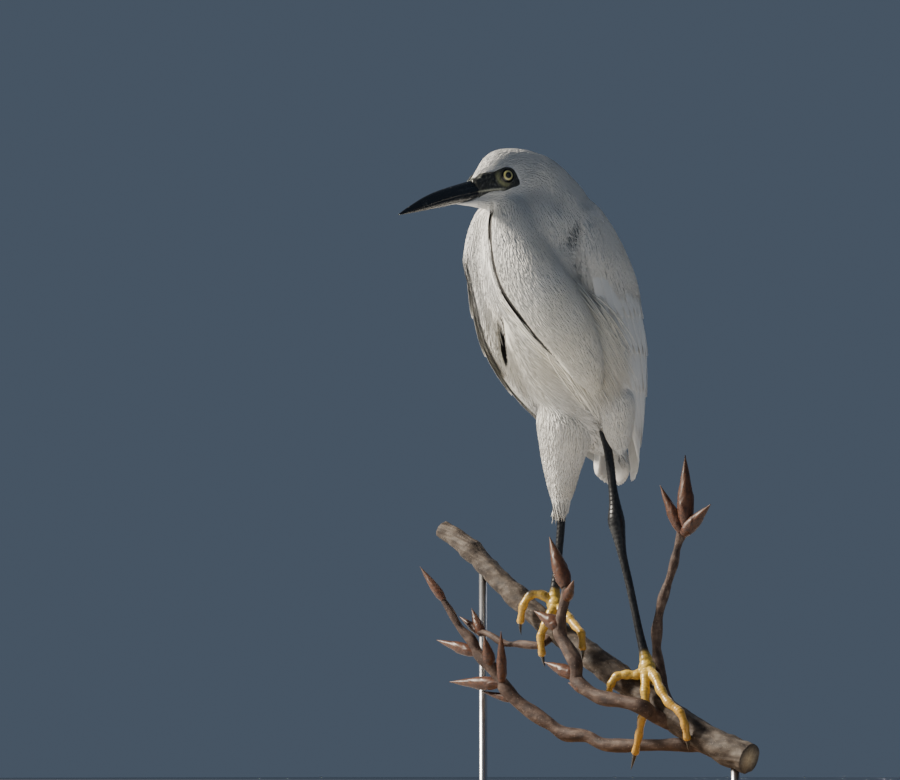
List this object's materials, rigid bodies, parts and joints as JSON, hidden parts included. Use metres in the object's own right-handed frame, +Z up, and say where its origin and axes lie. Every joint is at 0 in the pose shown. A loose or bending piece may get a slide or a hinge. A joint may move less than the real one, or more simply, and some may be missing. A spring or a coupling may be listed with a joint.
{
  "type": "little egret figure on a perch",
  "caption": "Life-size little egret, neck drawn in, gripping a short cut length of budding branch that rods hold above a flat display base.",
  "frame": {"origin": "centre of the underside of the display base", "axes": "+Z up; the base's underside faces -Z; -Y is forward of the bird's body and +X is the bird's left"},
  "size_m": [0.3033, 0.2759, 0.4986],
  "materials": {
    "plumage": "soft white feather coat",
    "bill": "satin black horn",
    "iris": "wet pale yellow eye with a black pupil",
    "black_leg": "scaled glossy black skin",
    "yellow_foot": "scaled yellow skin",
    "claw": "dark horn",
    "bark": "natural bark with glossy bud scales",
    "stand_wood": "oiled",
    "stand_steel": "brushed"
  },
  "bodies": {
    "root": {"bill_lower": "bill", "bill_upper": "bill", "branch": "bark", "claw_left_hind": "claw", "claw_left_inner": "claw", "claw_left_middle": "claw", "claw_left_outer": "claw", "claw_right_hind": "claw", "claw_right_inner": "claw", "claw_right_middle": "claw", "claw_right_outer": "claw", "eye_left": "iris", "eye_right": "iris", "foot_left": "yellow_foot", "foot_right": "yellow_foot", "head": "plumage", "neck_lower": "plumage", "neck_upper": "plumage", "shank_left": "black_leg", "shank_right": "black_leg", "stand_base": "stand_wood", "stand_rod_high": "stand_steel", "stand_rod_low": "stand_steel", "tail": "plumage", "thigh_left": "plumage", "thigh_right": "plumage", "torso": "plumage", "twig_front": "bark", "twig_lower": "bark", "twig_side": "bark", "twig_upright": "bark", "wing_left": "plumage", "wing_right": "plumage"}
  },
  "joints": []
}
